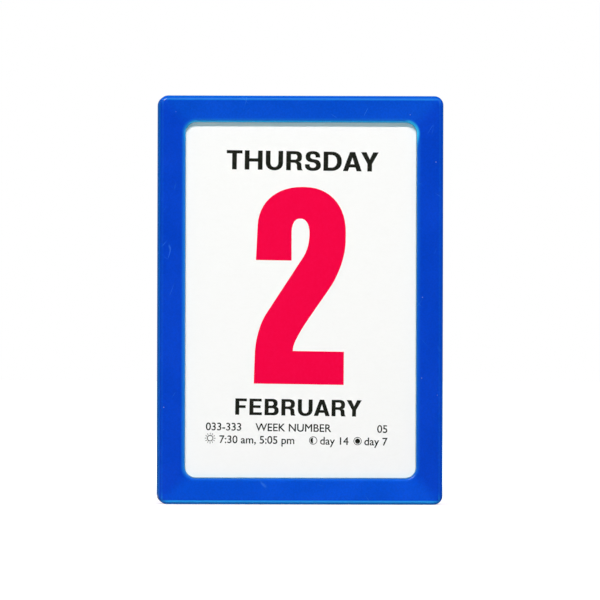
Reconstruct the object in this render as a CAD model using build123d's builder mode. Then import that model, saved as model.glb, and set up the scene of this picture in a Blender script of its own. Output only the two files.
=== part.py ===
from build123d import *
import calendar
from datetime import date
import math
import os

# A tear-off day calendar: a blue moulded frame, a gummed pad of day leaves in its window,
# and a press-in back cover with a keyhole and a fold-out strut.
# Millimetres. X runs to the right, Y from the front to the back, Z up.
# The origin is under the middle of the frame, at its bottom face.

# Frame moulding
frame_width = 80.0
frame_height = 115.0
rail_width = 7.5
outer_corner = 2.6
window_corner = 3.1
face_wall = 1.8
skirt_wall = 1.8
well_wall = 1.4
face_round = 1.4
window_round = 0.9
rear_edge_round = 0.4
rib_wall = 1.2
side_ribs = 3
side_rib_spacing = 25.0
end_ribs = 2
end_rib_spacing = 32.0
pry_notch_width = 14.0
pry_notch_depth = 3.0
pry_notch_corner = 1.5

# Pad of leaves. The date of the front leaf says how many are torn off.
today = date(2012, 2, 2)
leaf_thickness = 0.05
leaf_gap = 0.2
gum_thickness = 0.15
board_thickness = 1.2
board_gap = 0.3

# Back cover
cover_depth = 5.5
cover_plate = 2.0
cover_wall = 1.5
cover_gap = 0.12
nail_groove_width = 10.0
nail_groove_height = 1.4
nail_groove_depth = 0.9
keyhole_drop = 12.6
keyhole_entry_radius = 4.0
keyhole_slot_radius = 2.1
keyhole_rise = 7.0
keyhole_land = 4.0
pan_edge_land = 3.2
pan_depth = 3.2
pan_floor = 1.4
pan_wall = 2.0
pan_corner = 1.5
pan_gap = 0.4
pan_end_gap = 1.5
pan_head_gap = 2.2
pan_lip_round = 0.5

# Strut, which is as long as its pan allows
strut_head_width = 30.0
strut_foot_width = 20.0
strut_thickness = 2.6
strut_sink = 0.3
strut_foot_corner = 4.0
strut_edge_round = 0.5
strut_rim = 2.0
strut_skin = 1.2
strut_head_land = 8.0
strut_foot_land = 10.0
foot_notch_radius = 5.0
trunnion_radius = 1.0
trunnion_length = 1.5
pivot_clearance = 0.08
pivot_end_gap = 0.25
stop_angle = 29.0

# Places that follow from the sizes above
days_in_months = [calendar.monthrange(today.year, month)[1] for month in range(1, 13)]
leaves_torn = sum(days_in_months[: today.month - 1]) + today.day - 1
full_pad = sum(days_in_months) * leaf_thickness
frame_depth = full_pad + board_thickness + cover_depth
front_y = -frame_depth / 2
rear_y = frame_depth / 2
face_back_y = front_y + face_wall
board_seat_y = front_y + full_pad
cover_front_y = board_seat_y + board_thickness
today_y = front_y + leaves_torn * leaf_thickness
mid_z = frame_height / 2

window_width = frame_width - 2 * rail_width
window_height = frame_height - 2 * rail_width
well_width = window_width + 2 * well_wall
well_height = window_height + 2 * well_wall
well_corner = window_corner + well_wall
bay_width = frame_width - 2 * skirt_wall
bay_height = frame_height - 2 * skirt_wall
bay_corner = outer_corner - skirt_wall

leaf_width = window_width - 2 * leaf_gap
leaf_height = window_height - 2 * leaf_gap
leaf_corner = window_corner - leaf_gap
leaf_top_z = mid_z + leaf_height / 2

cover_width = bay_width - 2 * cover_gap
cover_height = bay_height - 2 * cover_gap
cover_corner = max(bay_corner - cover_gap, cover_gap)
cover_bottom_z = mid_z - cover_height / 2
cover_top_z = mid_z + cover_height / 2
cover_plate_y = rear_y - cover_plate
keyhole_z = cover_top_z - keyhole_drop

# The pan runs from the land under the keyhole to the land along the cover's bottom edge.
pan_top_z = keyhole_z - keyhole_entry_radius - keyhole_land
pan_bottom_z = cover_bottom_z + pan_edge_land
pan_height = pan_top_z - pan_bottom_z
pan_mid_z = (pan_top_z + pan_bottom_z) / 2
pan_width = strut_head_width + 2 * pan_gap
pan_floor_y = rear_y - pan_depth

strut_back_y = rear_y - strut_sink
strut_front_y = strut_back_y - strut_thickness
hinge_y = (strut_back_y + strut_front_y) / 2
hinge_z = pan_top_z - pan_head_gap
foot_z = pan_bottom_z + pan_end_gap
# The square inner edge of the strut's head meets the pan's floor at the stop angle.
stop = math.radians(stop_angle)
head_above_axis = (hinge_y - pan_floor_y - strut_thickness / 2 * math.cos(stop)) / math.sin(stop)
head_z = hinge_z + head_above_axis


def upright_plane(y):
    """The upright plane at this depth, its own X along the width and its own Y up. It faces the front."""
    return Plane.XZ.offset(-y)


os.makedirs("parts", exist_ok=True)

# Front frame: a moulding with U-section rails. The skirt and the well wall are joined by the face
# in front, braced by cross ribs, and open at the back.
with BuildPart() as front_frame:
    with BuildSketch(upright_plane(front_y)):
        with Locations((0, mid_z)):
            RectangleRounded(frame_width, frame_height, outer_corner)
    extrude(amount=-frame_depth)
    fillet(front_frame.faces().sort_by(Axis.Y)[0].edges(), face_round)
    fillet(front_frame.faces().sort_by(Axis.Y)[-1].edges(), rear_edge_round)
    with BuildSketch(upright_plane(rear_y)):
        with Locations((0, mid_z)):
            RectangleRounded(bay_width, bay_height, bay_corner)
    extrude(amount=rear_y - face_back_y, mode=Mode.SUBTRACT)
    # The well wall and the ribs reach back to the seat of the board.
    with BuildSketch(upright_plane(board_seat_y)):
        with Locations((0, mid_z)):
            RectangleRounded(well_width, well_height, well_corner)
            with GridLocations(0, side_rib_spacing, 1, side_ribs):
                Rectangle(bay_width, rib_wall)
            with GridLocations(end_rib_spacing, 0, end_ribs, 1):
                Rectangle(rib_wall, bay_height)
    extrude(amount=board_seat_y - face_back_y)
    with BuildSketch(upright_plane(board_seat_y)):
        with Locations((0, mid_z)):
            RectangleRounded(window_width, window_height, window_corner)
    extrude(amount=board_seat_y - front_y, mode=Mode.SUBTRACT)
    fillet(front_frame.faces().sort_by(Axis.Y)[0].inner_wires()[0].edges(), window_round)
    # A notch in the bottom of the skirt lets a nail reach the cover's edge.
    with BuildSketch(Plane.XY):
        with Locations((0, rear_y)):
            RectangleRounded(pry_notch_width, 2 * pry_notch_depth, pry_notch_corner)
    extrude(amount=skirt_wall, mode=Mode.SUBTRACT)
front_frame.part.label = "front_frame"
export_step(front_frame.part, "parts/front_frame.step")

# Backing board: grey board that the pad is glued to. It sits on the rear edges of the well and ribs.
with BuildPart() as backing_board:
    with BuildSketch(upright_plane(board_seat_y)):
        with Locations((0, mid_z)):
            Rectangle(bay_width - 2 * board_gap, bay_height - 2 * board_gap)
    extrude(amount=-board_thickness)
backing_board.part.label = "backing_board"
export_step(backing_board.part, "parts/backing_board.step")


def stack_of_leaves(name, first_y, count):
    """Writes a stack of this many leaves with its front at first_y, and returns the next leaf's place."""
    with BuildPart() as leaves:
        with BuildSketch(upright_plane(first_y)):
            with Locations((0, mid_z)):
                RectangleRounded(leaf_width, leaf_height, leaf_corner)
        extrude(amount=-count * leaf_thickness)
    leaves.part.label = name
    export_step(leaves.part, f"parts/{name}.step")
    return first_y + count * leaf_thickness


# Leaves: today's, tomorrow's, what is left of the month, and a stack for each later month.
single_leaves = ("today_leaf", "tomorrow_leaf")
next_y = today_y
for leaf in single_leaves:
    next_y = stack_of_leaves(leaf, next_y, 1)
leaves_gone = today.day - 1 + len(single_leaves)
for month in range(today.month, 13):
    name = calendar.month_name[month].lower() + "_leaves"
    next_y = stack_of_leaves(name, next_y, days_in_months[month - 1] - leaves_gone)
    leaves_gone = 0

# Gum strip: the brushed film of padding gum along the straight run of the leaves' top edges.
with BuildPart() as gum_strip:
    with BuildSketch(Plane.XY.offset(leaf_top_z)):
        with Locations((0, (today_y + board_seat_y) / 2)):
            Rectangle(leaf_width - 2 * leaf_corner, board_seat_y - today_y)
    extrude(amount=gum_thickness)
gum_strip.part.label = "gum_strip"
export_step(gum_strip.part, "parts/gum_strip.step")

# Back cover: a shallow tray pressed into the skirt. Its wall holds the board against the well.
# A pan in it takes the folded strut, and a keyhole over the pan hangs the calendar on a screw.
with BuildPart() as back_cover:
    with BuildSketch(upright_plane(rear_y)):
        with Locations((0, mid_z)):
            RectangleRounded(cover_width, cover_height, cover_corner)
    extrude(amount=cover_depth)
    with BuildSketch(upright_plane(cover_front_y)):
        with Locations((0, mid_z)):
            Rectangle(cover_width - 2 * cover_wall, cover_height - 2 * cover_wall)
    extrude(amount=cover_front_y - cover_plate_y, mode=Mode.SUBTRACT)
    with BuildSketch(upright_plane(rear_y)):
        with Locations((0, pan_mid_z)):
            RectangleRounded(pan_width + 2 * pan_wall, pan_height + 2 * pan_wall, pan_corner + pan_wall)
    extrude(amount=pan_depth + pan_floor)
    with BuildSketch(upright_plane(rear_y)):
        with Locations((0, pan_mid_z)):
            RectangleRounded(pan_width, pan_height, pan_corner)
    extrude(amount=pan_depth, mode=Mode.SUBTRACT)
    fillet(back_cover.faces().sort_by(Axis.Y)[-1].inner_wires()[0].edges(), pan_lip_round)
    # Sockets for the strut's trunnions, in the sides of the pan.
    socket_reach = strut_head_width / 2 + trunnion_length + pivot_end_gap
    with BuildSketch(Plane.YZ.offset(-socket_reach)):
        with Locations((hinge_y, hinge_z)):
            Circle(trunnion_radius + pivot_clearance)
    extrude(amount=2 * socket_reach, mode=Mode.SUBTRACT)
    with BuildSketch(upright_plane(rear_y)):
        with Locations((0, keyhole_z)):
            Circle(keyhole_entry_radius)
        with Locations((0, keyhole_z + keyhole_rise / 2)):
            Rectangle(2 * keyhole_slot_radius, keyhole_rise)
        with Locations((0, keyhole_z + keyhole_rise)):
            Circle(keyhole_slot_radius)
    extrude(amount=cover_plate, mode=Mode.SUBTRACT)
    # The groove that a nail hooks into, behind the notch in the skirt.
    with BuildSketch(Plane.XY.offset(cover_bottom_z)):
        with Locations((0, rear_y - pry_notch_depth + nail_groove_height / 2)):
            Rectangle(nail_groove_width, nail_groove_height)
    extrude(amount=nail_groove_depth, mode=Mode.SUBTRACT)
back_cover.part.label = "back_cover"
export_step(back_cover.part, "parts/back_cover.step")

# Strut: a tapered leg, hollow on its inner side, that turns on two moulded trunnions.
with BuildPart() as stand_strut:
    with BuildSketch(upright_plane(strut_back_y)) as outline:
        with BuildLine():
            Polyline(
                (-strut_head_width / 2, head_z),
                (strut_head_width / 2, head_z),
                (strut_foot_width / 2, foot_z),
                (-strut_foot_width / 2, foot_z),
                close=True,
            )
        make_face()
        fillet(outline.vertices().group_by(Axis.Y)[0], strut_foot_corner)
        with Locations((0, foot_z)):
            Circle(foot_notch_radius, mode=Mode.SUBTRACT)
    extrude(amount=strut_thickness)
    fillet(stand_strut.faces().sort_by(Axis.Y)[-1].edges(), strut_edge_round)
    with BuildSketch(upright_plane(strut_front_y)):
        hollow_top_z = hinge_z - strut_head_land
        hollow_bottom_z = foot_z + strut_foot_land
        taper = (strut_head_width - strut_foot_width) / 2 / (head_z - foot_z)
        hollow_top = strut_foot_width / 2 + taper * (hollow_top_z - foot_z) - strut_rim
        hollow_bottom = strut_foot_width / 2 + taper * (hollow_bottom_z - foot_z) - strut_rim
        with BuildLine():
            Polyline(
                (-hollow_top, hollow_top_z),
                (hollow_top, hollow_top_z),
                (hollow_bottom, hollow_bottom_z),
                (-hollow_bottom, hollow_bottom_z),
                close=True,
            )
        make_face()
    extrude(amount=-(strut_thickness - strut_skin), mode=Mode.SUBTRACT)
    trunnion_reach = strut_head_width / 2 + trunnion_length
    with BuildSketch(Plane.YZ.offset(-trunnion_reach)):
        with Locations((hinge_y, hinge_z)):
            Circle(trunnion_radius)
    extrude(amount=2 * trunnion_reach)
stand_strut.part.label = "stand_strut"
export_step(stand_strut.part, "parts/stand_strut.step")
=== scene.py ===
import math

import bmesh
import bpy
import numpy as np
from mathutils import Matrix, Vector


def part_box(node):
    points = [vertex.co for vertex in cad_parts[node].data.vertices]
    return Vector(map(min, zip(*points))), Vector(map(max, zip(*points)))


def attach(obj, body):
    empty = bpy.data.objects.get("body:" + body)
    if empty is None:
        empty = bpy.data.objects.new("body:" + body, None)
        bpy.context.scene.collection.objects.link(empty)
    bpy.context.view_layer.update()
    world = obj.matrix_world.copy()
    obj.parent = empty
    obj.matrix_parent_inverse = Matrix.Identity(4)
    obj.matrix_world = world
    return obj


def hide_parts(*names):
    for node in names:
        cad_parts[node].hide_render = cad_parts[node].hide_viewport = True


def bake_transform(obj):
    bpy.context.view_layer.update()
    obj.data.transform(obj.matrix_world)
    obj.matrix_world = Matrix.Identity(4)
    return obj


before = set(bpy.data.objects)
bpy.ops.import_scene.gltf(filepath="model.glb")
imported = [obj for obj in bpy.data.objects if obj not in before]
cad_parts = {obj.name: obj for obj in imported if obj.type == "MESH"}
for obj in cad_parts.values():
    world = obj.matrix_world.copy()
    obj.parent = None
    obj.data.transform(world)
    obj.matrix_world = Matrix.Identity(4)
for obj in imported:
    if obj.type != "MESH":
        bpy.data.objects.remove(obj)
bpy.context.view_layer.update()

# Front frame
# One injection moulding in glossy blue polystyrene: a face round the window, an outer skirt
# and an inner wall, with the pad, board and cover put in from behind. Its colour carries painted
# light: head and foot rails painted lighter than the sides, painted highlights along the edges,
# a painted glow round the window and a painted line of shade at its foot. Handling has left
# fine scratches and dust on the rails.
mm = 0.001
frame_low, frame_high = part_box("front_frame")
leaf_low, leaf_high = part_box("today_leaf")
leaf_gap = 0.2 * mm
face = frame_low.y
half_height = (frame_low.z + frame_high.z) / 2
window_corner = 3.1 * mm
window_half_width = leaf_high.x + leaf_gap
window_half_height = (leaf_high.z - leaf_low.z) / 2 + leaf_gap
rail_middle_x = (frame_high.x + window_half_width) / 2
rail_middle_z = (half_height + window_half_height) / 2
side_rail_blue = (0.0010, 0.0510, 0.550, 1)
# Painted light: the head and foot rails' blues are lighter copies of the side rails' blue, as if lit from
# above.
head_rail_lit_blue = (0.0010, 0.0690, 0.580, 1)
foot_rail_lit_blue = (0.0010, 0.0770, 0.660, 1)
# Painted highlight, painted light, painted glow and painted shade colours for the frame's edges.
rim_highlight_blue = (0.0180, 0.3100, 0.770, 1)
foot_rim_highlight_blue = (0.0250, 0.4300, 1.000, 1)
skirt_edge_lit_blue = (0.0040, 0.1500, 0.600, 1)
wall_glow_teal = (0.0300, 0.6000, 0.720, 1)
foot_shade_teal = (0.0020, 0.1200, 0.300, 1)
head_lip_glow_blue = (0.0350, 0.6200, 1.000, 1)
scratch_blue = (0.0300, 0.2000, 0.720, 1)
dust_grey = (0.4200, 0.5200, 0.640, 1)

# Patterns in the moulded skin: how many clouds or cells to the metre, and how far each one goes.
flow_scale, flow_tone, flow_roughness = 55.0, 0.05, 0.04
grain_scale, grain_tone = 1900.0, 0.06
peel_scale = 1100.0
scratch_scale, scratch_width, scratch_roughness, scratch_depth = 190.0, 0.008, 0.20, 0.12
scratch_turns = [(0.40, 0.60, 0.30), (0.25, -1.05, -0.35)]
scratch_stretch = (7.0, 2.5, 1.0)
worn_scale, worn_range = 150.0, (0.61, 0.72)
dust_scale, dust_size, dust_chance = 260.0, (0.020, 0.045), (0.62, 0.66)
dust_roughness, dust_height = 0.35, 0.25
plastic_gloss, skin_depth = 0.22, 0.06 * mm


def add_node(tree, kind, inputs=None, **settings):
    """Adds a node to a tree. The settings go on the node itself. Each input is a plain value,
    or another node's output, which is then linked."""
    node = tree.nodes.new(kind)
    for name, value in settings.items():
        setattr(node, name, value)
    for key, value in (inputs or {}).items():
        if isinstance(value, bpy.types.NodeSocket):
            tree.links.new(value, node.inputs[key])
        else:
            node.inputs[key].default_value = value
    return node


def worked(tree, operation, *values):
    """The result of one sum on a value or output, or on two."""
    return add_node(tree, "ShaderNodeMath", dict(enumerate(values)), operation=operation).outputs[0]


def total(tree, first, *others):
    """Values or outputs added together."""
    for value in others:
        first = worked(tree, "ADD", first, value)
    return first


def product(tree, first, *others):
    """Values or outputs multiplied together."""
    for value in others:
        first = worked(tree, "MULTIPLY", first, value)
    return first


def eased(tree, value, start, end, low=0.0, high=1.0):
    """A value that eases from low to high as the input goes from start to end."""
    limits = {"Value": value, "From Min": start, "From Max": end, "To Min": low, "To Max": high}
    return add_node(tree, "ShaderNodeMapRange", limits, interpolation_type="SMOOTHSTEP").outputs[0]


def mixed(tree, share, first, second, blend="MIX"):
    """Two colours mixed by a share."""
    colours = {0: share, 6: first, 7: second}
    return add_node(tree, "ShaderNodeMix", colours, data_type="RGBA", blend_type=blend).outputs[2]


def clouded(tree, place, scale, detail=2.0, distortion=0.0):
    """Cloud noise from 0 to 1, with so many clouds to the metre."""
    inputs = {"Vector": place, "Scale": scale, "Detail": detail, "Distortion": distortion}
    return add_node(tree, "ShaderNodeTexNoise", inputs).outputs[0]


def varied(tree, cloud, middle, reach):
    """A value that goes as far below and above a middle as a cloud pattern goes dark and light."""
    return eased(tree, cloud, 0.3, 0.7, middle - reach, middle + reach)


def veined(tree, place, scale, width, detail, distortion):
    """Thin lines, one where they run, along which cloud noise crosses its middle level."""
    off_middle = worked(tree, "SUBTRACT", clouded(tree, place, scale, detail, distortion), 0.5)
    return eased(tree, worked(tree, "ABSOLUTE", off_middle), 0.0, width, 1.0, 0.0)


def effect_group(name, inputs, outputs):
    """A new shader node group with named sockets: its tree, its inputs and its outputs."""
    tree = bpy.data.node_groups.new(name, "ShaderNodeTree")
    for label, value in inputs.items():
        kind = "NodeSocketFloat" if isinstance(value, float) else "NodeSocketColor"
        tree.interface.new_socket(label, in_out="INPUT", socket_type=kind).default_value = value
    for label in outputs:
        kind = "NodeSocketColor" if label == "Color" else "NodeSocketFloat"
        tree.interface.new_socket(label, in_out="OUTPUT", socket_type=kind)
    return tree, tree.nodes.new("NodeGroupInput").outputs, tree.nodes.new("NodeGroupOutput").inputs


skin, skin_in, skin_out = effect_group(
    "moulded_skin",
    {"Blue": side_rail_blue, "Scratches": 0.5, "Dust": 0.5, "Roughness": 0.26, "Grain": 0.1},
    ["Color", "Roughness", "Height"],
)
place = add_node(skin, "ShaderNodeTexCoord").outputs["Object"]
flow = clouded(skin, place, flow_scale, detail=3.0, distortion=0.8)
grain = clouded(skin, place, grain_scale)
peel = clouded(skin, place, peel_scale, detail=1.0)
lines = []
for turn in scratch_turns:
    rubbed = {"Vector": place, "Rotation": turn, "Scale": scratch_stretch}
    way = add_node(skin, "ShaderNodeMapping", rubbed, vector_type="TEXTURE").outputs[0]
    lines.append(veined(skin, way, scratch_scale, scratch_width, detail=0.4, distortion=0.3))
worn = eased(skin, clouded(skin, place, worn_scale, detail=1.0), *worn_range)
scratch = product(skin, worked(skin, "MAXIMUM", *lines), worn)
cells = add_node(skin, "ShaderNodeTexVoronoi", {"Vector": place, "Scale": dust_scale}).outputs
lot = add_node(skin, "ShaderNodeSeparateXYZ", {0: cells["Color"]}).outputs[0]
speck = product(skin, eased(skin, cells["Distance"], *dust_size, 1.0, 0.0), eased(skin, lot, *dust_chance))
tone = product(skin, varied(skin, flow, 1.0, flow_tone), varied(skin, grain, 1.0, grain_tone))
toned = mixed(skin, 1.0, skin_in["Blue"], tone, "MULTIPLY")
scratched = mixed(skin, product(skin, scratch, skin_in["Scratches"]), toned, scratch_blue)
dusted = mixed(skin, product(skin, speck, skin_in["Dust"]), scratched, dust_grey)
roughness = total(
    skin,
    skin_in["Roughness"],
    varied(skin, flow, 0.0, flow_roughness),
    product(skin, scratch, scratch_roughness),
    product(skin, speck, dust_roughness),
)
height = total(
    skin,
    product(skin, peel, skin_in["Grain"]),
    product(skin, scratch, -scratch_depth),
    product(skin, speck, dust_height),
)
skin.links.new(dusted, skin_out["Color"])
skin.links.new(roughness, skin_out["Roughness"])
skin.links.new(height, skin_out["Height"])


def new_material(name):
    """A material with its tree and its main shader."""
    material = bpy.data.materials.new(name)
    material.use_nodes = True
    return material, material.node_tree, material.node_tree.nodes["Principled BSDF"]


def lay_bump(tree, shader, height, depth):
    """Turns a height pattern into the shader's normal, with the given depth in metres."""
    bump = add_node(tree, "ShaderNodeBump", {"Height": height, "Strength": 1.0, "Distance": depth})
    tree.links.new(bump.outputs[0], shader.inputs["Normal"])


def moulded_plastic(name, blue, scratches, dust, roughness, grain):
    """Blue moulded plastic: the skin group with its own values."""
    material, tree, shader = new_material(name)
    values = {"Blue": blue, "Scratches": scratches, "Dust": dust, "Roughness": roughness, "Grain": grain}
    surface = add_node(tree, "ShaderNodeGroup", values, node_tree=skin).outputs
    tree.links.new(surface["Color"], shader.inputs["Base Color"])
    tree.links.new(surface["Roughness"], shader.inputs["Roughness"])
    shader.inputs["Specular IOR Level"].default_value = plastic_gloss
    lay_bump(tree, shader, surface["Height"], skin_depth)
    return material, tree, shader, surface


def coat(node, material):
    """Gives a CAD node its finished material."""
    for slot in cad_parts[node].material_slots:
        slot.material = material


# Painted light on the frame: painted highlights on the outer round and the window's lip, painted
# light on the skirt's edge, a painted glow on the window's inner wall, head and corners, and a
# painted line of shade at the foot under the leaf. Distances across a rail start at its middle,
# those from the window at its outline and depths at the face. A level is a share.
mitre_blend, foot_blend, side_blend = 3.0 * mm, 2.0 * mm, 1.0 * mm
lit_depth, round_depth = (2.2 * mm, 1.6 * mm), (0.9 * mm, 0.6 * mm)
rim_rise, rim_fall, foot_rim_shift = (2.30 * mm, 2.70 * mm), (2.85 * mm, 3.30 * mm), 0.15 * mm
least_rim, head_rim, foot_rim = 0.06, 0.34, 0.90
lip_fall = (1.45 * mm, 0.05 * mm)
left_lip, right_lip, head_lip, foot_lip = 0.55, 0.24, 0.45, 0.08
skirt_edge_rise, skirt_edge_level = (3.20 * mm, 3.65 * mm), 0.85
wall_glow_fall, wall_glow_level = (0.18 * mm, 0.02 * mm), 0.65
foot_shade_fall, foot_shade_level = (0.45 * mm, 0.10 * mm), 0.90
corner_side, corner_end = (-0.5 * mm, 1.0 * mm), (-4.5 * mm, 0.5 * mm)
head_glow, left_corner_glow = 0.85, 0.35
head_glow_reach, corner_glow_reach, glow_start = 0.65 * mm, 0.45 * mm, 0.02 * mm

frame_plastic, tree, shader, surface = moulded_plastic(
    "frame_plastic_blue", side_rail_blue, scratches=0.45, dust=0.5, roughness=0.17, grain=0.06
)
place = add_node(tree, "ShaderNodeTexCoord").outputs["Object"]
at_x, at_y, at_z = add_node(tree, "ShaderNodeSeparateXYZ", {0: place}).outputs
above_middle = worked(tree, "SUBTRACT", at_z, half_height)
to_side, to_end = worked(tree, "ABSOLUTE", at_x), worked(tree, "ABSOLUTE", above_middle)
beside = worked(tree, "SUBTRACT", to_side, rail_middle_x)
beyond = worked(tree, "SUBTRACT", to_end, rail_middle_z)
across = worked(tree, "MAXIMUM", beside, beyond)
end_rail = eased(tree, worked(tree, "SUBTRACT", beyond, beside), -mitre_blend, mitre_blend)
side_rail = worked(tree, "SUBTRACT", 1.0, end_rail)
foot = eased(tree, above_middle, foot_blend, -foot_blend)
head = worked(tree, "SUBTRACT", 1.0, foot)
foot_end = product(tree, end_rail, foot)
# Painted light: the head and foot rails take their lighter copies of the side blue.
end_rail_lit_blue = mixed(tree, foot, head_rail_lit_blue, foot_rail_lit_blue)
tree.links.new(mixed(tree, end_rail, side_rail_blue, end_rail_lit_blue), surface["Color"].node.inputs["Blue"])

# Painted highlights: a line along the outer round, strongest at the foot, and along the window's lip,
# stronger at the left and head than at the right and foot.
rim_across = worked(tree, "SUBTRACT", across, eased(tree, foot_end, 0.0, 1.0, 0.0, foot_rim_shift))
rim = product(tree, eased(tree, rim_across, *rim_rise), eased(tree, rim_across, *rim_fall, 1.0, 0.0))
rim_level = total(tree, product(tree, end_rail, eased(tree, foot, 0.0, 1.0, head_rim, foot_rim)), least_rim)
past_side = worked(tree, "SUBTRACT", to_side, window_half_width - window_corner)
past_end = worked(tree, "SUBTRACT", to_end, window_half_height - window_corner)
past = {0: worked(tree, "MAXIMUM", past_side, 0.0), 1: worked(tree, "MAXIMUM", past_end, 0.0)}
past = add_node(tree, "ShaderNodeCombineXYZ", past).outputs[0]
past_corner = add_node(tree, "ShaderNodeVectorMath", {0: past}, operation="LENGTH").outputs["Value"]
outside = worked(tree, "SUBTRACT", past_corner, window_corner)
lip = eased(tree, outside, *lip_fall)
end_lip = eased(tree, foot, 0.0, 1.0, head_lip, foot_lip)
side_lip = eased(tree, at_x, side_blend, -side_blend, right_lip, left_lip)
lip_level = total(tree, product(tree, end_rail, end_lip), product(tree, side_rail, side_lip))
front_edge = eased(tree, at_y, *(face + depth for depth in lit_depth))
lit = product(tree, total(tree, product(tree, rim, rim_level), product(tree, lip, lip_level)), front_edge)
edges = mixed(tree, lit, surface["Color"], mixed(tree, foot_end, rim_highlight_blue, foot_rim_highlight_blue))

# Painted light on the skirt's outer edge.
lit_skirt_edge = product(tree, eased(tree, across, *skirt_edge_rise, 0.0, skirt_edge_level), front_edge)
edges = mixed(tree, lit_skirt_edge, edges, mixed(tree, foot_end, skirt_edge_lit_blue, foot_rim_highlight_blue))
foot_round = product(tree, foot_end, eased(tree, at_y, *(face + depth for depth in round_depth)))
# Painted glow on the window's inner wall.
wall = product(tree, eased(tree, outside, *wall_glow_fall, 0.0, wall_glow_level), front_edge)
edges = mixed(tree, product(tree, wall, worked(tree, "SUBTRACT", 1.0, foot_round)), edges, wall_glow_teal)
# Painted line of shade along the window's foot, under the leaf.
foot_shade_line = product(tree, eased(tree, outside, *foot_shade_fall, 0.0, foot_shade_level), foot_round)
edges = mixed(tree, foot_shade_line, edges, foot_shade_teal)

# Painted glow at the window's head and corners.
corner = product(tree, eased(tree, past_side, *corner_side), eased(tree, past_end, *corner_end))
corner = product(tree, corner, eased(tree, at_x, -side_blend, side_blend, left_corner_glow, 1.0))
glow_level = worked(tree, "MAXIMUM", product(tree, end_rail, head_glow), corner)
glow_reach = total(tree, product(tree, corner, corner_glow_reach), head_glow_reach)
glow = product(tree, eased(tree, outside, glow_reach, glow_start), glow_level, front_edge, head)
tree.links.new(mixed(tree, glow, edges, head_lip_glow_blue), shader.inputs["Base Color"])
coat("front_frame", frame_plastic)

# Pad of leaves
# Cut sheets of white printing paper, jogged square and sorted by month, from the day after
# tomorrow to the end of the year. Fine lines of painted shade, a leaf apart, stand for the gaps
# between the cut edges.
leaf_thickness = 0.05 * mm
paper_white = (0.930, 0.930, 0.920, 1)
fibre_grey = (0.830, 0.825, 0.800, 1)
page_gap_shade_grey = (0.560, 0.550, 0.520, 1)
page_gap, page_gap_level = 0.2 * leaf_thickness, 0.55
strand_scale, strand_width, strand_stretch = 900.0, 0.05, (0.35, 1.0, 1.0)
cloud_scale, cloud_roughness = 260.0, 0.05
tooth_scale = 4200.0
strand_colour, cloud_colour = 0.5, 0.5
strand_height, tooth_height = 0.4, 0.6
paper_gloss = 0.25
later_months = [
    "february", "march", "april", "may", "june", "july",
    "august", "september", "october", "november", "december",
]

fibre, fibre_in, fibre_out = effect_group(
    "paper_fibre",
    {"Sheet": paper_white, "Fibre": fibre_grey, "Fibres": 0.3, "Roughness": 0.62},
    ["Color", "Roughness", "Height"],
)
place = add_node(fibre, "ShaderNodeTexCoord").outputs["Object"]
along = add_node(fibre, "ShaderNodeMapping", {"Vector": place, "Scale": strand_stretch}).outputs[0]
strand = veined(fibre, along, strand_scale, strand_width, detail=4.0, distortion=1.5)
cloud = clouded(fibre, place, cloud_scale, detail=3.0)
tooth = clouded(fibre, place, tooth_scale)
fibres = total(fibre, product(fibre, strand, strand_colour), product(fibre, cloud, cloud_colour))
fibres = product(fibre, fibres, fibre_in["Fibres"])
roughness = total(fibre, fibre_in["Roughness"], varied(fibre, cloud, 0.0, cloud_roughness))
height = total(fibre, product(fibre, strand, strand_height), product(fibre, tooth, tooth_height))
fibre.links.new(mixed(fibre, fibres, fibre_in["Sheet"], fibre_in["Fibre"]), fibre_out["Color"])
fibre.links.new(roughness, fibre_out["Roughness"])
fibre.links.new(height, fibre_out["Height"])


def fibrous(name, sheet, fleck, fibres, roughness, tooth_depth):
    """Paper or board: the fibre group with its own values, and its tooth as a bump."""
    material, tree, shader = new_material(name)
    values = {"Sheet": sheet, "Fibre": fleck, "Fibres": fibres, "Roughness": roughness}
    surface = add_node(tree, "ShaderNodeGroup", values, node_tree=fibre).outputs
    tree.links.new(surface["Color"], shader.inputs["Base Color"])
    tree.links.new(surface["Roughness"], shader.inputs["Roughness"])
    shader.inputs["Specular IOR Level"].default_value = paper_gloss
    lay_bump(tree, shader, surface["Height"], tooth_depth)
    return material, tree, shader, surface


pad_paper, tree, shader, surface = fibrous(
    "pad_paper_edges", paper_white, fibre_grey, fibres=0.30, roughness=0.66, tooth_depth=0.02 * mm
)
place = add_node(tree, "ShaderNodeTexCoord").outputs["Object"]
depth_in = add_node(tree, "ShaderNodeSeparateXYZ", {0: place}).outputs["Y"]
in_page = worked(tree, "PINGPONG", depth_in, leaf_thickness / 2)
# Painted shade in the gaps between leaves.
page_gap_shade = eased(tree, in_page, 0.0, page_gap, page_gap_level, 0.0)
tree.links.new(mixed(tree, page_gap_shade, surface["Color"], page_gap_shade_grey), shader.inputs["Base Color"])
for month in later_months:
    coat(month + "_leaves", pad_paper)

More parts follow.
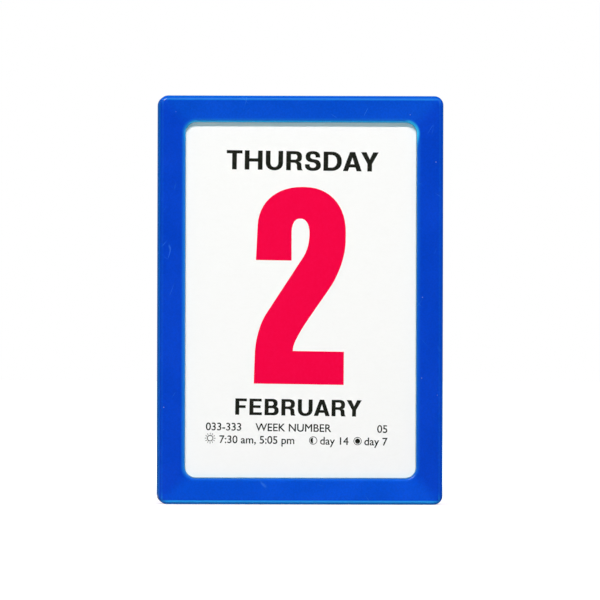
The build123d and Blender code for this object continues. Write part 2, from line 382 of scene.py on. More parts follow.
# Gum along the head of the pad
# A brushed strip of dried padding gum that holds every leaf by its top edge, and lets go of
# one leaf at a time. It is a little glossy and uneven where the brush left it.
gum_cream = (0.820, 0.780, 0.680, 1)
gum_amber = (0.660, 0.560, 0.400, 1)
brush_stretch, streak_scale, amber_range = (0.12, 1.0, 1.0), 1500.0, (0.35, 0.75)
gum_roughness, streak_roughness, streak_depth = 0.42, 0.10, 0.08 * mm
padding_gum, tree, shader = new_material("padding_gum_dried")
place = add_node(tree, "ShaderNodeTexCoord").outputs["Object"]
brushed = add_node(tree, "ShaderNodeMapping", {"Vector": place, "Scale": brush_stretch}).outputs[0]
streak = clouded(tree, brushed, streak_scale, detail=3.0, distortion=0.4)
gum_colour = mixed(tree, eased(tree, streak, *amber_range), gum_cream, gum_amber)
tree.links.new(gum_colour, shader.inputs["Base Color"])
tree.links.new(varied(tree, streak, gum_roughness, streak_roughness), shader.inputs["Roughness"])
lay_bump(tree, shader, streak, streak_depth)
coat("gum_strip", padding_gum)

# Stubs of torn leaves
# What the leaves of January and early February left behind: a ragged fringe of paper fibre,
# still held by the gum in front of today's leaf, close under the window's top edge.
gum_low, gum_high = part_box("gum_strip")
stub_front, stub_wave = gum_low.y - 0.30 * mm, 0.15 * mm
stub_reach = 0.26 * mm
even_hang, coarse_hang, fine_hang = 0.15, 0.55, 0.30
gum_grip = 0.02 * mm
stations, coarse_tears, waves, tear_seed = 260, 40, 25, 32


def uneven(draw, count):
    """So many seeded draws from 0 to 1, joined by straight runs and read at every station."""
    return np.interp(np.linspace(0, 1, stations), np.linspace(0, 1, count), draw.uniform(0, 1, count))


def new_piece(name, points, faces, material):
    """An object at the origin with a mesh of points and faces in one material."""
    mesh = bpy.data.meshes.new(name)
    mesh.from_pydata(points, [], faces)
    mesh.materials.append(material)
    piece = bpy.data.objects.new(name, mesh)
    bpy.context.scene.collection.objects.link(piece)
    return piece


def turn_outwards(mesh, seam=0.0):
    """Closes a mesh at points that lie within a seam's width, and turns its faces outwards."""
    shell = bmesh.new()
    shell.from_mesh(mesh)
    if seam:
        bmesh.ops.remove_doubles(shell, verts=shell.verts, dist=seam)
    bmesh.ops.recalc_face_normals(shell, faces=shell.faces)
    shell.to_mesh(mesh)
    shell.free()


def ragged_fringe(name, material):
    """A band in two parameters, along the gum and round its section. The section is a flat ring of
    eight points, and its lower lip hangs by a seeded uneven depth that changes along the band."""
    draw = np.random.default_rng(tear_seed)
    coarse = uneven(draw, coarse_tears)
    fine = draw.uniform(0, 1, stations)
    hang = stub_reach * (even_hang + coarse_hang * coarse + fine_hang * fine)
    front = stub_front + stub_wave * uneven(draw, waves)
    x = np.linspace(gum_low.x, gum_high.x, stations)
    back = np.full(stations, gum_low.y - gum_grip)
    top = np.full(stations, gum_high.z)
    base = np.full(stations, gum_low.z - gum_grip)
    between, half_way = (front + back) / 2, (top + base) / 2
    ring_y = np.stack([back, between, front, front, front, between, back, back], -1)
    ring_z = np.stack([top, top, top, half_way, base - hang, base - hang[::-1], base, half_way], -1)
    points = np.stack([np.broadcast_to(x[:, None], ring_y.shape), ring_y, ring_z], -1).reshape(-1, 3)
    index = np.arange(len(points)).reshape(ring_y.shape)
    turned = np.roll(index, -1, 1)
    quads = np.stack([index[:-1], index[1:], turned[1:], turned[:-1]], -1).reshape(-1, 4)
    ends = [index[0].tolist(), index[-1][::-1].tolist()]
    piece = new_piece(name, points, quads.tolist() + ends, material)
    turn_outwards(piece.data)
    return piece


stub_paper = fibrous(
    "stub_paper_torn", paper_white, fibre_grey, fibres=0.60, roughness=0.85, tooth_depth=0.04 * mm
)[0]
stubs = ragged_fringe("torn_stubs", stub_paper)
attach(stubs, "frame")

# Tomorrow's leaf
# The next sheet of the pad, printed in two colours: the weekday and month in heavy black
# capitals, the day in a tall condensed red figure, and small black figures below. The ink is
# a thin film, and the print stands a little turned on every sheet, as the pad was cut.
black_ink = (0.0100, 0.0110, 0.0075, 1)
black_ink_thin = (0.0260, 0.0280, 0.0220, 1)
red_ink = (0.8700, 0.0003, 0.0530, 1)
red_ink_thin = (0.8850, 0.0030, 0.0660, 1)
lay_scale, lay_range, lay_share = 1300.0, (0.35, 0.75), 0.6
pinhole_scale, pinhole_range = 3600.0, (0.62, 0.74)
thin_roughness, ink_gloss = 0.2, 0.03
leaf_finish = {"fibres": 0.22, "roughness": 0.60, "tooth_depth": 0.015 * mm}
tomorrow_paper = fibrous("tomorrow_paper_white", paper_white, fibre_grey, **leaf_finish)[0]
coat("tomorrow_leaf", tomorrow_paper)

lay, lay_in, lay_out = effect_group(
    "ink_lay", {"Ink": black_ink, "Thin": black_ink_thin, "Roughness": 0.45}, ["Color", "Roughness"]
)
place = add_node(lay, "ShaderNodeTexCoord").outputs["Object"]
uneven_lay = eased(lay, clouded(lay, place, lay_scale, detail=3.0), *lay_range, 0.0, lay_share)
pinhole = eased(lay, clouded(lay, place, pinhole_scale), *pinhole_range)
thin = worked(lay, "MAXIMUM", uneven_lay, pinhole)
roughness = total(lay, lay_in["Roughness"], product(lay, thin, thin_roughness))
lay.links.new(mixed(lay, thin, lay_in["Ink"], lay_in["Thin"]), lay_out["Color"])
lay.links.new(roughness, lay_out["Roughness"])


def printing_ink(name, ink, thin, roughness):
    """Printing ink: the ink group with its own colours."""
    material, tree, shader = new_material(name)
    values = {"Ink": ink, "Thin": thin, "Roughness": roughness}
    surface = add_node(tree, "ShaderNodeGroup", values, node_tree=lay).outputs
    tree.links.new(surface["Color"], shader.inputs["Base Color"])
    tree.links.new(surface["Roughness"], shader.inputs["Roughness"])
    shader.inputs["Specular IOR Level"].default_value = ink_gloss
    return material


black_print = printing_ink("black_printing_ink", black_ink, black_ink_thin, roughness=0.45)
red_print = printing_ink("red_printing_ink", red_ink, red_ink_thin, roughness=0.42)

# Corners of the heavy capitals, for a capital one unit high. A corner is across, up and, if
# it is round, how far the curve starts before the corner and ends after it.
stem, bar = 0.245, 0.168
capitals = {
    "A": [
        [(0, 0), (0.355, 1), (0.625, 1), (0.98, 0), (0.715, 0), (0.652, 0.195), (0.328, 0.195), (0.265, 0)],
        [(0.382, 0.362), (0.598, 0.362), (0.49, 0.715)],
    ],
    "B": [
        [
            (0, 0), (0, 1), (0.79, 1, 0.30, 0.24), (0.79, 0.525, 0.22, 0.13), (0.66, 0.525),
            (0.86, 0.525, 0.20, 0.20), (0.86, 0, 0.27, 0.30),
        ],
        [(stem, 0.838), (0.545, 0.838, 0.12, 0.12), (0.545, 0.592, 0.12, 0.12), (stem, 0.592)],
        [(stem, 0.432), (0.605, 0.432, 0.13, 0.13), (0.605, 0.162, 0.13, 0.13), (stem, 0.162)],
    ],
    "D": [
        [(0, 0), (0, 1), (0.95, 1, 0.52, 0.48), (0.95, 0, 0.48, 0.52)],
        [(stem, 0.828), (0.70, 0.828, 0.29, 0.31), (0.70, 0.172, 0.31, 0.29), (stem, 0.172)],
    ],
    "E": [
        [
            (0, 0), (0, 1), (0.74, 1), (0.74, 0.832), (stem, 0.832), (stem, 0.594), (0.68, 0.594),
            (0.68, 0.430), (stem, 0.430), (stem, bar), (0.76, bar), (0.76, 0),
        ]
    ],
    "F": [
        [
            (0, 0), (0, 1), (0.70, 1), (0.70, 0.832), (stem, 0.832), (stem, 0.585), (0.635, 0.585),
            (0.635, 0.420), (stem, 0.420), (stem, 0),
        ]
    ],
    "H": [
        [
            (0, 0), (0, 1), (stem, 1), (stem, 0.592), (0.685, 0.592), (0.685, 1), (0.93, 1), (0.93, 0),
            (0.685, 0), (0.685, 0.420), (stem, 0.420), (stem, 0),
        ]
    ],
    "I": [[(0, 0), (0, 1), (stem, 1), (stem, 0)]],
    "R": [
        [
            (0, 0), (0, 1), (0.82, 1, 0.32, 0.27), (0.82, 0.465, 0.24, 0.14), (0.64, 0.455, 0.03, 0.03),
            (0.79, 0.40, 0.08, 0.12), (0.80, 0.10, 0.15, 0.05), (0.87, 0), (0.60, 0),
            (0.56, 0.08, 0.05, 0.06), (0.555, 0.395, 0.16, 0.15), (stem, 0.395), (stem, 0),
        ],
        [(stem, 0.838), (0.575, 0.838, 0.13, 0.13), (0.575, 0.555, 0.13, 0.13), (stem, 0.555)],
    ],
    "S": [
        [
            (0.79, 0.685), (0.79, 1.015, 0.26, 0.36), (0.035, 1.015, 0.36, 0.27),
            (0.035, 0.485, 0.23, 0.24), (0.580, 0.395, 0.17, 0.11), (0.580, 0.150, 0.12, 0.15),
            (0.250, 0.150, 0.16, 0.12), (0.250, 0.325), (0.005, 0.325), (0.005, -0.015, 0.27, 0.40),
            (0.835, -0.015, 0.40, 0.28), (0.835, 0.540, 0.26, 0.25), (0.280, 0.620, 0.15, 0.10),
            (0.280, 0.855, 0.11, 0.12), (0.550, 0.855, 0.13, 0.11), (0.550, 0.685),
        ]
    ],
    "T": [
        [
            (0, 1), (0.82, 1), (0.82, 0.832), (0.5325, 0.832), (0.5325, 0), (0.2875, 0), (0.2875, 0.832),
            (0, 0.832),
        ]
    ],
    "U": [
        [
            (0, 1), (stem, 1), (stem, 0.155, 0.24, 0.20), (0.655, 0.155, 0.20, 0.24), (0.655, 1), (0.90, 1),
            (0.90, -0.015, 0.40, 0.44), (0, -0.015, 0.44, 0.40),
        ]
    ],
    "Y": [
        [
            (0, 1), (0.285, 1), (0.46, 0.625), (0.635, 1), (0.92, 1), (0.5825, 0.395), (0.5825, 0),
            (0.3375, 0), (0.3375, 0.395),
        ]
    ],
}
letter_gap = 0.165
closer_pairs = {
    "TH": 0.04, "RS": 0.06, "SD": 0.03, "DA": 0.10, "AY": 0.21,
    "UA": 0.09, "AR": 0.06, "RY": 0.12, "RU": 0.03,
}

# Corners of the tall figures in millimetres from the middle of the leaf's width and its foot.
figure_2 = [
    (-12.80, 68.60), (-12.10, 89.35, 11.0, 12.1), (12.36, 89.35, 11.6, 12.7), (12.36, 67.35, 6.9, 7.9),
    (-1.72, 46.40, 7.9, 2.3), (-2.05, 43.18), (12.36, 43.18), (12.42, 33.85), (-12.88, 33.85),
    (-12.58, 48.95, 6.6, 5.6), (2.55, 72.85, 4.0, 4.3), (1.75, 80.40, 3.2, 2.0), (-2.95, 80.40, 2.2, 4.1),
    (-2.77, 68.60),
]
figure_3 = [
    (-12.80, 71.00), (-12.20, 89.35, 11.2, 12.0), (11.95, 89.35, 12.0, 12.2), (11.95, 61.90, 7.6, 4.2),
    (7.60, 61.90, 0.6, 0.6), (12.40, 61.20, 4.4, 7.6), (12.40, 33.25, 12.0, 12.4),
    (-12.95, 33.25, 12.4, 12.0), (-12.95, 52.40), (-3.00, 52.40), (-3.00, 42.40, 3.3, 2.4),
    (2.15, 42.40, 2.4, 3.3), (2.15, 57.60, 4.2, 3.4), (-4.00, 57.60), (-4.00, 66.20),
    (1.95, 66.20, 3.4, 4.0), (1.95, 80.40, 3.2, 2.3), (-2.85, 80.40, 2.3, 3.6), (-2.85, 71.00),
]

# The print on a leaf in millimetres, from the middle of the leaf's width and its foot. A sign's
# rise is above the row that it stands in.
leaf_centre_z = (leaf_low.z + leaf_high.z) / 2 / mm
leaf_tilt = math.radians(0.75)
ink_film = 0.012
ink_spread = 0.035
type_size = 3.0
same_point = 1e-4
weekday_height, weekday_middle, weekday_base = 5.40, -0.10, 94.0
month_height, month_middle, month_base = 4.61, -0.18, 25.0
digit_height, first_row, second_row = 2.22, 20.50, 16.95
day_count_left, week_left, week_number_left = -26.15, -12.20, 22.06
sun_middle, sun_rise, sun_radius = -24.9, 1.35, 1.5
crescent_middle, full_moon_middle, moon_rise, moon_radius = 4.1, 16.6, 1.15, 1.15
times_left, crescent_day_left, full_moon_day_left = -22.30, 6.05, 18.50

# Parts of the sun and moon signs, as shares of a sign's radius.
sun_rays, ray_start, ray_half_width = 12, 0.72, 0.06
sun_ring, sun_ring_inside = 0.59, 0.44
moon_ring_inside, lit_part_height, lit_part_bulge, full_moon_disc = 0.84, 0.70, 0.10, 0.62


def rounded_outline(corners, steps=14, fullness=0.60):
    """A closed outline through a ring of corners. At each corner the line leaves the first side
    some way before the corner and joins the second some way after it, along a cubic curve whose
    two handles lie on those sides. A corner with no such distances stays sharp."""
    ring = np.array([(*corner, 0, 0)[:4] for corner in corners], float)
    corner = ring[:, :2]
    back = np.roll(corner, 1, 0) - corner
    ahead = np.roll(corner, -1, 0) - corner
    start = corner + back / np.linalg.norm(back, axis=1, keepdims=True) * ring[:, 2:3]
    end = corner + ahead / np.linalg.norm(ahead, axis=1, keepdims=True) * ring[:, 3:4]
    first = start + (corner - start) * fullness
    second = end + (corner - end) * fullness
    t = np.linspace(0, 1, steps)[None, :, None]
    points = (
        start[:, None] * (1 - t) ** 3
        + 3 * first[:, None] * (1 - t) ** 2 * t
        + 3 * second[:, None] * (1 - t) * t**2
        + end[:, None] * t**3
    ).reshape(-1, 2)
    return points[np.linalg.norm(points - np.roll(points, 1, 0), axis=1) > same_point]


def plate_of(curve):
    """The corners and triangles of a flat curve or text, made a mesh while still in millimetres."""
    maker = bpy.data.objects.new("plate_maker", curve)
    mesh = bpy.data.meshes.new_from_object(maker)
    mesh.calc_loop_triangles()
    points = np.empty(len(mesh.vertices) * 3)
    mesh.vertices.foreach_get("co", points)
    triangles = np.empty(len(mesh.loop_triangles) * 3, int)
    mesh.loop_triangles.foreach_get("vertices", triangles)
    bpy.data.objects.remove(maker)
    bpy.data.curves.remove(curve)
    bpy.data.meshes.remove(mesh)
    return points.reshape(-1, 3), triangles.reshape(-1, 3)


def filled_plate(outlines):
    """A thin plate in the shape of closed outlines, with the inner ones as holes."""
    curve = bpy.data.curves.new("outline_curve", "CURVE")
    curve.dimensions = "2D"
    curve.fill_mode = "BOTH"
    curve.extrude = ink_film / 2
    for outline in outlines:
        spline = curve.splines.new("POLY")
        spline.points.add(len(outline) - 1)
        points = np.c_[outline, np.zeros(len(outline)), np.ones(len(outline))]
        spline.points.foreach_set("co", points.ravel())
        spline.use_cyclic_u = True
    return plate_of(curve)


def word_plate(word, height, middle, base):
    """A thin plate in the shape of a word: the heavy capitals side by side, each moved along by
    the width of those before it, made as high as wanted and centred."""
    outlines, at = [], 0.0
    for letter, following in zip(word, word[1:] + " "):
        shapes = [rounded_outline(corners) for corners in capitals[letter]]
        outlines += [shape + (at, 0) for shape in shapes]
        at += shapes[0][:, 0].max() + letter_gap - closer_pairs.get(letter + following, 0)
    width = max(outline[:, 0].max() for outline in outlines)
    return filled_plate([(outline - (width / 2, 0)) * height + (middle, base) for outline in outlines])


def weekday_plate(word):
    """The weekday, at the head of a leaf."""
    return word_plate(word, weekday_height, weekday_middle, weekday_base)


def month_plate(word):
    """The month, under the figure."""
    return word_plate(word, month_height, month_middle, month_base)


def figure_plate(corners):
    """The tall figure of the day."""
    return filled_plate([rounded_outline(corners)])


def small_line(words, left, base):
    """A thin plate in the shape of a line of small print, with figures of the set height. A
    chamfer round each letter makes its strokes heavier, and is then pressed flat with the rest."""
    shape = {}
    for wording in ("0", words):
        curve = bpy.data.curves.new("small_line", "FONT")
        curve.body = wording
        curve.size = type_size
        curve.extrude = ink_film / 2
        curve.bevel_depth = ink_spread
        curve.bevel_resolution = 0
        shape[wording] = plate_of(curve)
    figure = shape["0"][0]
    points, triangles = shape[words]
    corner = points[:, 0].min(), figure[:, 1].min()
    size = digit_height / (figure[:, 1].max() - figure[:, 1].min())
    points[:, :2] = (points[:, :2] - corner) * size + (left, base)
    points[:, 2] *= ink_film / 2 / points[:, 2].max()
    return points, triangles


def ring_of(centre, radius, count=40):
    """A circle as a closed outline."""
    turn = np.linspace(0, 2 * math.pi, count, endpoint=False)
    return np.c_[np.cos(turn), np.sin(turn)] * radius + centre


def sun_plate(centre, radius):
    """A small sun: a ring with short straight rays round it."""
    turn = np.linspace(0, 2 * math.pi, sun_rays, endpoint=False)
    out = np.c_[np.cos(turn), np.sin(turn)][:, None]
    side = np.stack([-out[..., 1], out[..., 0]], -1)
    reach = np.array([ray_start, 1.0, 1.0, ray_start])[None, :, None] * radius
    half_width = np.array([-1, -1, 1, 1])[None, :, None] * ray_half_width * radius
    rays = list(out * reach + side * half_width + centre)
    rings = [ring_of(centre, share * radius) for share in (sun_ring, sun_ring_inside)]
    return filled_plate(rings + rays)


def moon_plate(centre, radius, lit_part):
    """A small moon: its lit part in a ring."""
    return filled_plate([ring_of(centre, radius), ring_of(centre, moon_ring_inside * radius), lit_part])


def crescent_plate(centre, radius):
    """A small half moon in a ring: its lit part is half of a circle and a flatter arc back."""
    turn = np.linspace(math.pi / 2, 3 * math.pi / 2, 24)
    outer = np.c_[np.cos(turn), np.sin(turn)]
    inner = outer[-2:0:-1] * (lit_part_bulge, 1)
    return moon_plate(centre, radius, np.concatenate([outer, inner]) * lit_part_height * radius + centre)


def full_moon_plate(centre, radius):
    """A small full moon in a ring: its lit part is a plain disc."""
    return moon_plate(centre, radius, ring_of(centre, full_moon_disc * radius))


def small_print(day_count, times):
    """The two rows of small print: days gone and to come, week of the year, sun and moon."""
    return [
        small_line(day_count, day_count_left, first_row),
        small_line("WEEK NUMBER", week_left, first_row),
        small_line("05", week_number_left, first_row),
        sun_plate((sun_middle, second_row + sun_rise), sun_radius),
        small_line(times, times_left, second_row),
        crescent_plate((crescent_middle, second_row + moon_rise), moon_radius),
        small_line("day 14", crescent_day_left, second_row),
        full_moon_plate((full_moon_middle, second_row + moon_rise), moon_radius),
        small_line("day 7", full_moon_day_left, second_row),
    ]


def print_plate(name, plates, ink, body, paper_front, lift=None):
    """Plates of ink laid on a leaf: turned by the leaf's tilt about its middle, stood upright on
    the paper's front, and moved forward with the paper where that lifts."""
    starts = np.cumsum([0] + [len(points) for points, triangles in plates])
    triangles = np.concatenate([triangles + start for (points, triangles), start in zip(plates, starts)])
    points = np.concatenate([points for points, triangles in plates])
    across, up = points[:, 0], points[:, 1] - leaf_centre_z
    x = across * math.cos(leaf_tilt) + up * math.sin(leaf_tilt)
    z = up * math.cos(leaf_tilt) - across * math.sin(leaf_tilt) + leaf_centre_z
    y = paper_front - ink_film / 2 - points[:, 2]
    if lift:
        y = y - lift(x, z)
    piece = new_piece(name, np.c_[x, y, z] * mm, triangles.tolist(), ink)
    turn_outwards(piece.data, seam=same_point * mm)
    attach(piece, body)


tomorrow_words = [weekday_plate("FRIDAY"), month_plate("FEBRUARY")]
tomorrow_print = {
    "tomorrow_words": (tomorrow_words, black_print),
    "tomorrow_figure": ([figure_plate(figure_3)], red_print),
    "tomorrow_small_print": (small_print("034-332", "7:29 am, 5:06 pm"), black_print),
}
tomorrow_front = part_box("tomorrow_leaf")[0].y / mm
for name, (plates, ink) in tomorrow_print.items():
    print_plate(name, plates, ink, "frame", tomorrow_front)

# Today's leaf
# The top sheet, held only by the gum along its head: it turns up about the top of the window
# and is torn off there. Its free corners lift a hair's breadth off the pad.
today_front = leaf_low.y / mm
leaf_head = leaf_high.z / mm
leaf_half_width = leaf_high.x / mm
leaf_length = (leaf_high.z - leaf_low.z) / mm
leaf_spread, leaf_corner = 0.12, 2.98
sheet_thickness = 0.030
corner_lift, middle_lift = 0.16, 0.25
corner_rows, straight_rows, leaf_columns = 12, 110, 45
crease = math.radians(40)


def corner_rise(x, z):
    """How far the sheet lifts forward: with the square of the distance below the gum, and from a
    set share in its middle to the whole at its two sides, in millimetres."""
    down = (leaf_head - z) / leaf_length
    return corner_lift * down**2 * (middle_lift + (1 - middle_lift) * (x / leaf_half_width) ** 2)


def grid_faces(rows, columns):
    """The index of every point of a grid, and the quads between them."""
    index = np.arange(rows * columns).reshape(rows, columns)
    quads = np.stack([index[:-1, :-1], index[1:, :-1], index[1:, 1:], index[:-1, 1:]], -1)
    return index, quads.reshape(-1, 4)


def leaf_sheet(name, material):
    """A sheet in two parameters, across and down. Its half width draws in along a quarter circle
    at its head and at its foot. The front and the back are two grids, a sheet's thickness apart,
    joined round the rim."""
    turn = np.linspace(0, math.pi / 2, corner_rows)
    length = leaf_length + 2 * leaf_spread
    head = leaf_corner * (1 - np.cos(turn))
    straight = np.linspace(leaf_corner, length - leaf_corner, straight_rows)[1:-1]
    down = np.concatenate([head, straight, length - head[::-1]])
    drawn_in = leaf_corner * (1 - np.sin(turn))
    drawn_in = np.concatenate([drawn_in, np.zeros(len(straight)), drawn_in[::-1]])
    half_width = leaf_half_width + leaf_spread - drawn_in
    x = np.linspace(-1, 1, leaf_columns)[None, :] * half_width[:, None]
    z = np.broadcast_to(leaf_head + leaf_spread - down[:, None], x.shape)
    y = today_front - corner_rise(x, z)
    front = np.stack([x, y, z], -1).reshape(-1, 3)
    back = front + (0, sheet_thickness, 0)
    index, quads = grid_faces(*x.shape)
    rim = np.concatenate([index[:, 0], index[-1, 1:], index[-2::-1, -1], index[0, -2:0:-1]])
    after = np.roll(rim, -1)
    behind = index.size
    wall = np.stack([rim, rim + behind, after + behind, after], -1)
    faces = np.concatenate([quads, quads[:, ::-1] + behind, wall])
    piece = new_piece(name, np.concatenate([front, back]) * mm, faces.tolist(), material)
    piece.data.polygons.foreach_set("use_smooth", np.ones(len(faces), bool))
    piece.data.set_sharp_from_angle(angle=crease)
    return piece


today_paper = fibrous("today_paper_white", paper_white, fibre_grey, **leaf_finish)[0]
today_sheet = leaf_sheet("today_sheet", today_paper)
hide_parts("today_leaf")
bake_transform(today_sheet)
today_print = {
    "today_weekday": ([weekday_plate("THURSDAY")], black_print),
    "today_figure": ([figure_plate(figure_2)], red_print),
    "today_month": ([month_plate("FEBRUARY")], black_print),
    "today_small_print": (small_print("033-333", "7:30 am, 5:05 pm"), black_print),
}
for name, (plates, ink) in today_print.items():
    print_plate(name, plates, ink, "leaf", today_front, corner_rise)

# Backing board
# A rectangle of uncoated grey board, die cut, that lies against the back of the pad and keeps
# it pressed square in the frame. It is recycled stock, with dark fibres in it.
board_grey = (0.420, 0.400, 0.370, 1)
board_fleck = (0.230, 0.210, 0.185, 1)
grey_board = fibrous(
    "grey_board_stock", board_grey, board_fleck, fibres=0.75, roughness=0.82, tooth_depth=0.06 * mm
)[0]
coat("backing_board", grey_board)

# Back cover
# A shallow moulded tray in the same blue plastic, pressed into the skirt of the frame. It has a
# keyhole for a screw head, a pan for the strut, and a spark-eroded texture that hides handling.
back_blue = (0.0020, 0.0620, 0.560, 1)
cover_plastic = moulded_plastic(
    "cover_plastic_blue", back_blue, scratches=0.40, dust=0.35, roughness=0.36, grain=0.55
)[0]
coat("back_cover", cover_plastic)

# Strut
# A flat tapered leg that swings out of the cover's pan on two moulded trunnions, so that the
# calendar leans back on a table. It is moulded in the same plastic, with the same texture.
strut_plastic = moulded_plastic(
    "strut_plastic_blue", back_blue, scratches=0.50, dust=0.35, roughness=0.34, grain=0.50
)[0]
coat("stand_strut", strut_plastic)

# Studio
# A pale floor that keeps the shadow, and a white backdrop whose own light is a weak blue. A long
# lamp stands high in front, with a weak copy that the gloss shows in its place, a small one at the
# left that only the gloss shows, and a wide one behind. The long lens is all but square to the face.
white = (1.0, 1.0, 1.0, 1)
floor_grey = (0.42, 0.48, 0.50, 1)
floor_glow = (0.68, 0.60, 0.59, 1)
floor_size, floor_points, floor_fade = 12.0, 9, (0.15, 0.55)
air_blue, air_strength = (0.36, 0.90, 1.0, 1), 0.33
scene = bpy.context.scene
scene.view_settings.view_transform = "Standard"


def seen_directly(tree):
    """One where a ray comes from the camera, a reflection or through glass, and nought elsewhere."""
    path = add_node(tree, "ShaderNodeLightPath").outputs
    seen = worked(tree, "MAXIMUM", path["Is Camera Ray"], path["Is Glossy Ray"])
    return worked(tree, "MAXIMUM", seen, path["Is Transmission Ray"])


def level_grid(name, size, count, material):
    """A level square in two parameters, centred on the origin, with so many points to a side."""
    x, y = np.meshgrid(np.linspace(-size / 2, size / 2, count), np.linspace(-size / 2, size / 2, count))
    points = np.stack([x, y, np.zeros_like(x)], -1).reshape(-1, 3)
    return new_piece(name, points, grid_faces(count, count)[1][:, ::-1].tolist(), material)


floor_matt, tree, shader = new_material("studio_floor")
tree.nodes.remove(shader)
place = add_node(tree, "ShaderNodeTexCoord").outputs["Object"]
distance = add_node(tree, "ShaderNodeVectorMath", {0: place}, operation="LENGTH").outputs["Value"]
glow = mixed(tree, eased(tree, distance, *floor_fade), floor_glow, white)
matt = add_node(tree, "ShaderNodeBsdfDiffuse", {"Color": floor_grey}).outputs[0]
light = add_node(tree, "ShaderNodeEmission", {"Color": glow, "Strength": seen_directly(tree)}).outputs[0]
both = add_node(tree, "ShaderNodeAddShader", {0: matt, 1: light}).outputs[0]
tree.links.new(both, tree.nodes["Material Output"].inputs["Surface"])
floor = level_grid("floor", floor_size, floor_points, floor_matt)

world = bpy.data.worlds.new("studio_air")
world.use_nodes = True
scene.world = world
tree = world.node_tree
air = tree.nodes["Background"]
air.inputs["Color"].default_value = air_blue
air.inputs["Strength"].default_value = air_strength
backdrop = add_node(tree, "ShaderNodeBackground", {"Color": white, "Strength": 1.0}).outputs[0]
air_or_backdrop = {0: seen_directly(tree), 1: air.outputs[0], 2: backdrop}
sky = add_node(tree, "ShaderNodeMixShader", air_or_backdrop).outputs[0]
tree.links.new(sky, tree.nodes["World Output"].inputs["Surface"])


def soft_lamp(name, place, aim, size, power, colour):
    """A rectangular lamp at a place, turned to face a point."""
    lamp = bpy.data.lights.new(name, "AREA")
    lamp.shape = "RECTANGLE"
    lamp.size, lamp.size_y = size
    lamp.energy, lamp.color = power, colour
    stand = bpy.data.objects.new(name, lamp)
    stand.location = place
    stand.rotation_euler = (Vector(aim) - Vector(place)).to_track_quat("-Z", "Y").to_euler()
    scene.collection.objects.link(stand)
    return stand


face_middle, body_middle = (0, face, half_height), (0, 0, half_height)
key_distance, key_height, key_size = 3.5, math.radians(48), (2.2, 0.22)
key_away, key_up = key_distance * math.cos(key_height), key_distance * math.sin(key_height)
key_place = (0, face - key_away, half_height + key_up)
corner_place, corner_size = (-0.50, -0.85, 0.85), (0.45, 0.45)
rear_place, rear_size = (-0.70, 1.20, 0.95), (1.50, 1.10)
key_lamp = soft_lamp("key_lamp", key_place, face_middle, key_size, power=142.0, colour=(1.0, 0.835, 0.79))
key_lamp.visible_glossy = False
soft_lamp("sheen_lamp", key_place, face_middle, key_size, power=1.5, colour=(1.0, 0.98, 0.96))
corner_lamp = soft_lamp(
    "corner_lamp", corner_place, face_middle, corner_size, power=14.0, colour=(1.0, 1.0, 1.0)
)
corner_lamp.visible_diffuse = False
soft_lamp("rear_lamp", rear_place, body_middle, rear_size, power=16.0, colour=(1.0, 0.97, 0.95))

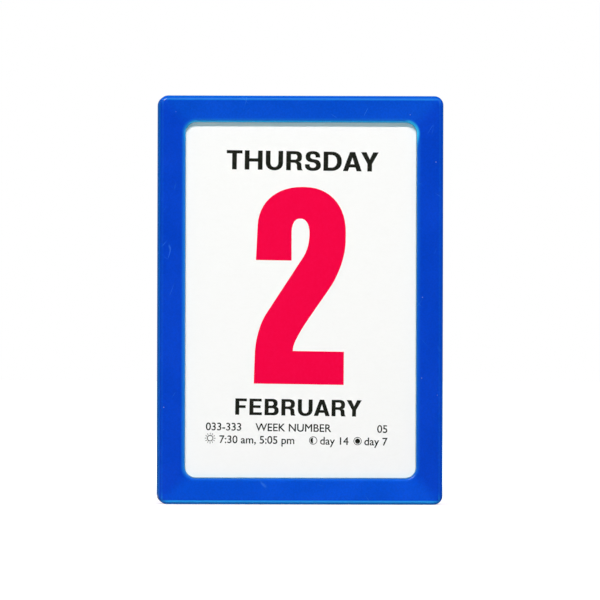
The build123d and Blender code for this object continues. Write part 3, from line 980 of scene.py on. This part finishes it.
# Dark cards, seen only in reflections, keep the gloss on the face from going pale and draw the
# edges of the frame: under and in front of it, behind it, at its sides and above it. A blue card
# close behind the calendar keeps its sides blue where they are seen all but edge on.
card_black = (0.01, 0.01, 0.01, 1)
rear_card_black, rear_card_blue = (0.0, 0.0, 0.0, 1), (0.004, 0.115, 0.360, 1)
off_floor = 0.2 * mm
card_corners = [
    [(-0.60, 0.06, off_floor), (-0.60, -0.26, off_floor), (0.60, -0.26, off_floor), (0.60, 0.06, off_floor)],
    [(-0.60, -0.26, off_floor), (-0.60, -0.36, 0.32), (0.60, -0.36, 0.32), (0.60, -0.26, off_floor)],
    [(-0.02, 0.50, 0), (-0.70, 0.30, 0), (-0.70, 0.30, 0.80), (-0.02, 0.50, 0.80)],
    [(0.02, 0.50, 0), (0.02, 0.50, 0.80), (0.70, 0.30, 0.80), (0.70, 0.30, 0)],
    [(-0.70, 0.30, 0), (-0.80, -0.40, 0), (-0.80, -0.40, 0.80), (-0.70, 0.30, 0.80)],
    [(0.70, 0.30, 0), (0.70, 0.30, 0.80), (0.80, -0.40, 0.80), (0.80, -0.40, 0)],
    [(-0.70, 0.50, 0.12), (-0.70, 0.15, 0.80), (0.70, 0.15, 0.80), (0.70, 0.50, 0.12)],
    [(-0.70, 0.15, 0.80), (-0.70, -0.30, 0.80), (0.70, -0.30, 0.80), (0.70, 0.15, 0.80)],
]
rear_card_corners = [(-0.60, 0.10, 0), (0.60, 0.10, 0), (0.60, 0.10, 0.60), (-0.60, 0.10, 0.60)]


def reflected_cards(name, corners, material):
    """Flat cards with four corners each, that only reflections show."""
    points = np.concatenate(corners)
    cards = new_piece(name, points, np.arange(len(points)).reshape(-1, 4).tolist(), material)
    cards.visible_camera = cards.visible_diffuse = cards.visible_shadow = cards.visible_transmission = False


card_stock, tree, shader = new_material("dark_card")
shader.inputs["Base Color"].default_value = card_black
shader.inputs["Roughness"].default_value = 1.0
reflected_cards("dark_cards", card_corners, card_stock)

rear_card_stock, tree, shader = new_material("blue_card")
shader.inputs["Base Color"].default_value = rear_card_black
shader.inputs["Roughness"].default_value = 1.0
shader.inputs["Emission Color"].default_value = rear_card_blue
shader.inputs["Emission Strength"].default_value = 1.0
reflected_cards("blue_card", [rear_card_corners], rear_card_stock)

photo_width = 168.7 * mm
camera_distance = 4.0
camera_turn, camera_roll = math.radians(-1.6), math.radians(-0.15)
camera_aside, camera_above = -0.27 * mm, 0.05 * mm
lens = bpy.data.cameras.new("long_lens")
lens.sensor_width = 36.0
lens.lens = lens.sensor_width * camera_distance / photo_width
lens.clip_start, lens.clip_end = 0.05, 30.0
camera = bpy.data.objects.new("camera", lens)
camera.location = (
    camera_distance * math.sin(camera_turn) + camera_aside,
    face - camera_distance * math.cos(camera_turn),
    half_height + camera_above,
)
camera.rotation_euler = (math.pi / 2, camera_roll, camera_turn)
scene.collection.objects.link(camera)
scene.camera = camera
